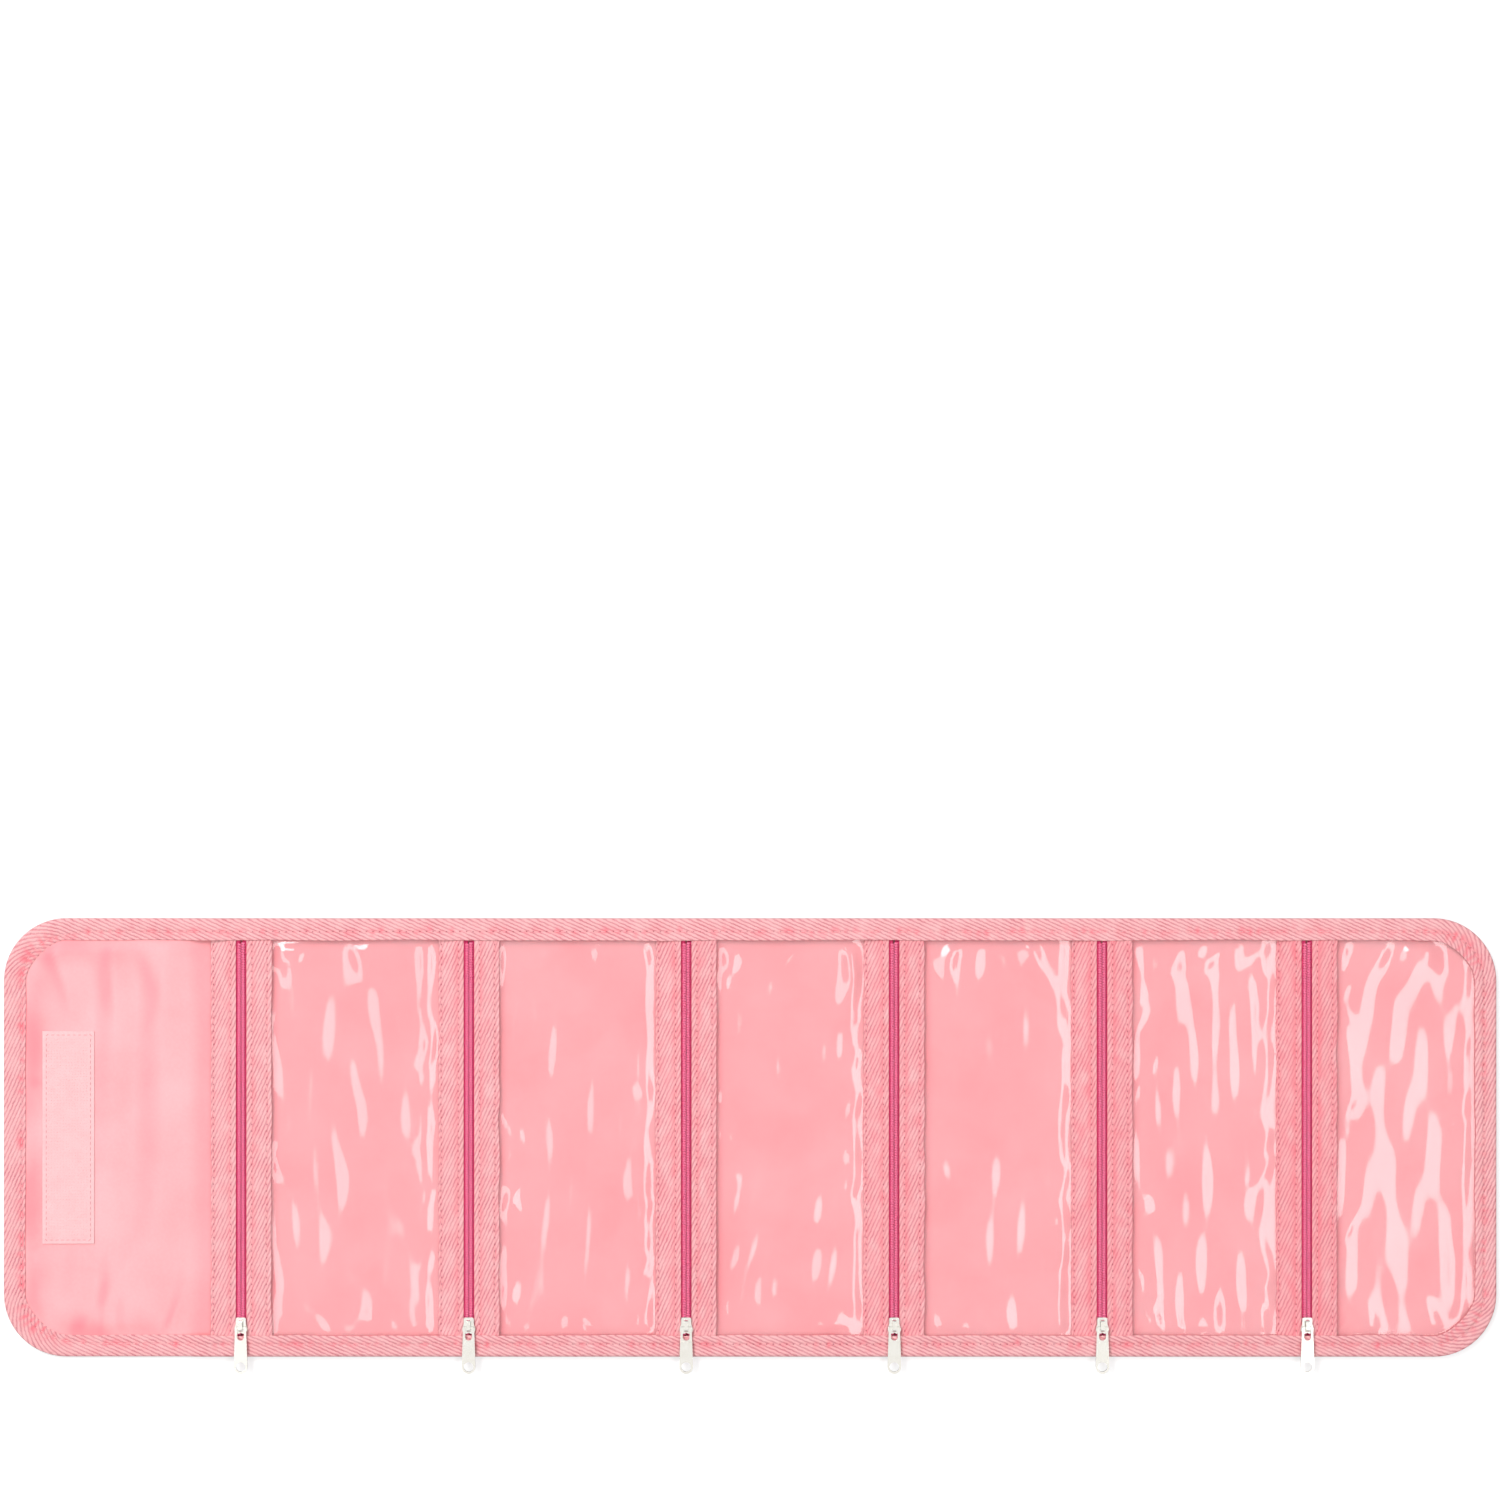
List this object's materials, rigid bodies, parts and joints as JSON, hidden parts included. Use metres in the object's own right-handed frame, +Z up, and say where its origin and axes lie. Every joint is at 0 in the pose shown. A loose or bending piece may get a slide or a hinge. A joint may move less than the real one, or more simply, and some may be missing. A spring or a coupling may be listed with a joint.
{
  "type": "cash envelope wallet",
  "caption": "Long bound cloth wallet opened out flat, with a closing flap and a row of zipped pockets with clear fronts",
  "frame": {"origin": "middle of the footprint with the pulls, on the surface that the wallet lies on", "axes": "+X along the strip from the closing flap to the last pocket, +Z up through the clear fronts, +Y from the long edge where the zip sliders are parked to the other long edge"},
  "size_m": [0.715, 0.2176, 0.0078],
  "materials": {
    "canvas": "woven oxford, matt",
    "lining": "thin satin lining, soft sheen",
    "twill": "twill tape, matt",
    "zip_tape": "woven polyester tape",
    "coil": "nylon coil",
    "film": "clear vinyl, glossy",
    "closure": "hook and loop tape",
    "nickel": "bright nickel plate"
  },
  "bodies": {
    "wallet": {"outer_cover": "canvas", "lining": "lining", "edge_binding": "twill", "hook_tape": "closure", "loop_tape": "closure", "zip1_tape_left": "zip_tape", "zip1_tape_right": "zip_tape", "zip1_coil_left": "coil", "zip1_coil_right": "coil", "divider_strip_1": "twill", "window_strip_1": "twill", "window_film_1": "film", "zip2_tape_left": "zip_tape", "zip2_tape_right": "zip_tape", "zip2_coil_left": "coil", "zip2_coil_right": "coil", "divider_strip_2": "twill", "window_strip_2": "twill", "window_film_2": "film", "zip3_tape_left": "zip_tape", "zip3_tape_right": "zip_tape", "zip3_coil_left": "coil", "zip3_coil_right": "coil", "divider_strip_3": "twill", "window_strip_3": "twill", "window_film_3": "film", "zip4_tape_left": "zip_tape", "zip4_tape_right": "zip_tape", "zip4_coil_left": "coil", "zip4_coil_right": "coil", "divider_strip_4": "twill", "window_strip_4": "twill", "window_film_4": "film", "zip5_tape_left": "zip_tape", "zip5_tape_right": "zip_tape", "zip5_coil_left": "coil", "zip5_coil_right": "coil", "divider_strip_5": "twill", "window_strip_5": "twill", "window_film_5": "film", "zip6_tape_left": "zip_tape", "zip6_tape_right": "zip_tape", "zip6_coil_left": "coil", "zip6_coil_right": "coil", "divider_strip_6": "twill", "window_strip_6": "twill", "window_film_6": "film"},
    "slider_1": {"zip1_slider": "nickel"},
    "pull_1": {"zip1_pull": "nickel"},
    "slider_2": {"zip2_slider": "nickel"},
    "pull_2": {"zip2_pull": "nickel"},
    "slider_3": {"zip3_slider": "nickel"},
    "pull_3": {"zip3_pull": "nickel"},
    "slider_4": {"zip4_slider": "nickel"},
    "pull_4": {"zip4_pull": "nickel"},
    "slider_5": {"zip5_slider": "nickel"},
    "pull_5": {"zip5_pull": "nickel"},
    "slider_6": {"zip6_slider": "nickel"},
    "pull_6": {"zip6_pull": "nickel"}
  },
  "joints": [
    {"name": "zip1_slide", "type": "slide", "parent": "wallet", "child": "slider_1", "axis": [0, 1, 0], "range_m": [0, 0.179]},
    {"name": "zip1_pull_hinge", "type": "hinge", "parent": "slider_1", "child": "pull_1", "pos_m": [-0.2435, -0.08682, 0.0064], "axis": [-1, 0, 0], "range_deg": [0, 183]},
    {"name": "zip2_slide", "type": "slide", "parent": "wallet", "child": "slider_2", "axis": [0, 1, 0], "range_m": [0, 0.179]},
    {"name": "zip2_pull_hinge", "type": "hinge", "parent": "slider_2", "child": "pull_2", "pos_m": [-0.1345, -0.08682, 0.0064], "axis": [-1, 0, 0], "range_deg": [0, 183]},
    {"name": "zip3_slide", "type": "slide", "parent": "wallet", "child": "slider_3", "axis": [0, 1, 0], "range_m": [0, 0.179]},
    {"name": "zip3_pull_hinge", "type": "hinge", "parent": "slider_3", "child": "pull_3", "pos_m": [-0.0305, -0.08682, 0.0064], "axis": [-1, 0, 0], "range_deg": [0, 183]},
    {"name": "zip4_slide", "type": "slide", "parent": "wallet", "child": "slider_4", "axis": [0, 1, 0], "range_m": [0, 0.179]},
    {"name": "zip4_pull_hinge", "type": "hinge", "parent": "slider_4", "child": "pull_4", "pos_m": [0.069, -0.08682, 0.0064], "axis": [-1, 0, 0], "range_deg": [0, 183]},
    {"name": "zip5_slide", "type": "slide", "parent": "wallet", "child": "slider_5", "axis": [0, 1, 0], "range_m": [0, 0.179]},
    {"name": "zip5_pull_hinge", "type": "hinge", "parent": "slider_5", "child": "pull_5", "pos_m": [0.1685, -0.08682, 0.0064], "axis": [-1, 0, 0], "range_deg": [0, 183]},
    {"name": "zip6_slide", "type": "slide", "parent": "wallet", "child": "slider_6", "axis": [0, 1, 0], "range_m": [0, 0.179]},
    {"name": "zip6_pull_hinge", "type": "hinge", "parent": "slider_6", "child": "pull_6", "pos_m": [0.2665, -0.08682, 0.0064], "axis": [-1, 0, 0], "range_deg": [0, 183]}
  ]
}
